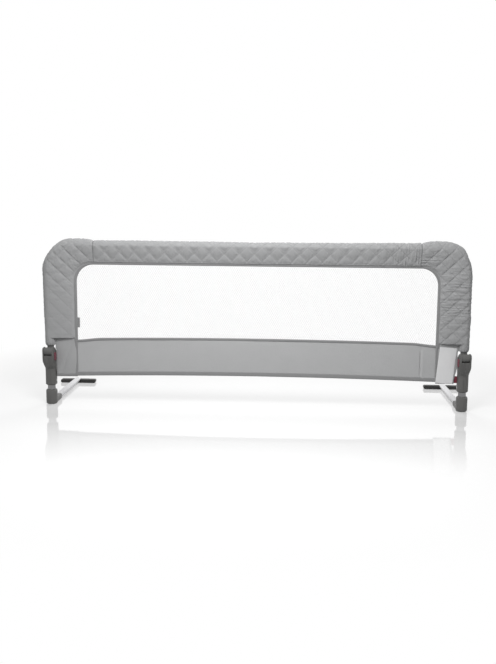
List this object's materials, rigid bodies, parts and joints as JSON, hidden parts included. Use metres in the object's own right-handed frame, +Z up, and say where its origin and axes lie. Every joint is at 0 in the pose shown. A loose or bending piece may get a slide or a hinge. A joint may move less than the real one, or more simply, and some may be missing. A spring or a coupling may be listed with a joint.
{
  "type": "folding bed guard rail",
  "caption": "Padded, netted bed guard rail on flat arms that slide under a mattress; it swings down on two side hinges released by push buttons.",
  "frame": {"origin": "on the floor under the middle of the rail's bounding box", "axes": "+X along the bed, +Y towards the mattress that lies on the arms, +Z up"},
  "size_m": [1.272, 0.342, 0.47],
  "materials": {
    "casing_plastic": "moulded, fine grain",
    "bar_plastic": "moulded, satin",
    "red_plastic": "moulded, satin",
    "red_webbing": "woven webbing",
    "frame_steel": "bright zinc plated",
    "arm_steel": "bright zinc plated",
    "fastener_steel": "zinc plated",
    "quilt_cloth": "diamond quilted polyester",
    "panel_cloth": "woven polyester",
    "trim_cloth": "bias binding",
    "net_cloth": "fine hexagonal mesh",
    "label_cloth": "smooth coated tape"
  },
  "bodies": {
    "base": {"hinge_casing_outer_right": "casing_plastic", "hinge_casing_outer_left": "casing_plastic", "hinge_casing_inner_right": "casing_plastic", "hinge_casing_inner_left": "casing_plastic", "pivot_pin_right": "fastener_steel", "pivot_pin_left": "fastener_steel", "button_spring_right": "fastener_steel", "button_spring_left": "fastener_steel", "casing_screw_upper_right": "fastener_steel", "casing_screw_upper_left": "fastener_steel", "casing_screw_lower_right": "fastener_steel", "casing_screw_lower_left": "fastener_steel", "leg_tube_right": "frame_steel", "leg_tube_left": "frame_steel", "foot_elbow_right": "casing_plastic", "foot_elbow_left": "casing_plastic", "arm_tube_right": "arm_steel", "arm_tube_left": "arm_steel", "foot_bar_right": "bar_plastic", "foot_bar_left": "bar_plastic", "foot_bar_rivet_right": "fastener_steel", "foot_bar_rivet_left": "fastener_steel", "skirt_flap_right": "panel_cloth", "skirt_flap_left": "panel_cloth", "corner_strap_right": "red_webbing", "corner_strap_left": "red_webbing", "skirt_panel": "panel_cloth", "hem_binding": "trim_cloth", "label_lower": "label_cloth"},
    "rail": {"knuckle_right": "casing_plastic", "knuckle_left": "casing_plastic", "frame_rivet_right": "fastener_steel", "frame_rivet_left": "fastener_steel", "corner_tube_right": "frame_steel", "corner_tube_left": "frame_steel", "snap_pin_right": "fastener_steel", "snap_pin_left": "fastener_steel", "top_tube": "frame_steel", "cover_corner_right": "quilt_cloth", "cover_corner_left": "quilt_cloth", "cover_top": "quilt_cloth", "piping_top": "trim_cloth", "piping_left": "trim_cloth", "piping_right": "trim_cloth", "piping_arch": "trim_cloth", "window_net": "net_cloth", "panel_strip": "panel_cloth", "flap_strip_right": "panel_cloth", "flap_strip_left": "panel_cloth", "label_upper": "label_cloth", "loop_tab": "trim_cloth"},
    "release_button_right": {"release_button_right": "red_plastic", "lock_pin_right": "fastener_steel"},
    "release_button_left": {"release_button_left": "red_plastic", "lock_pin_left": "fastener_steel"}
  },
  "joints": [
    {"name": "rail_swing", "type": "hinge", "parent": "base", "child": "rail", "pos_m": [0, -0.15875, 0.156], "axis": [1, 0, 0], "range_deg": [0, 180]},
    {"name": "button_press_right", "type": "slide", "parent": "base", "child": "release_button_right", "axis": [1, 0, 0], "range_m": [0, 0.002], "stiffness_N_per_m": 400, "springref_m": -0.01, "deforming": ["button_spring_right"]},
    {"name": "button_press_left", "type": "slide", "parent": "base", "child": "release_button_left", "axis": [-1, 0, 0], "range_m": [0, 0.002], "stiffness_N_per_m": 400, "springref_m": -0.01, "deforming": ["button_spring_left"]}
  ]
}
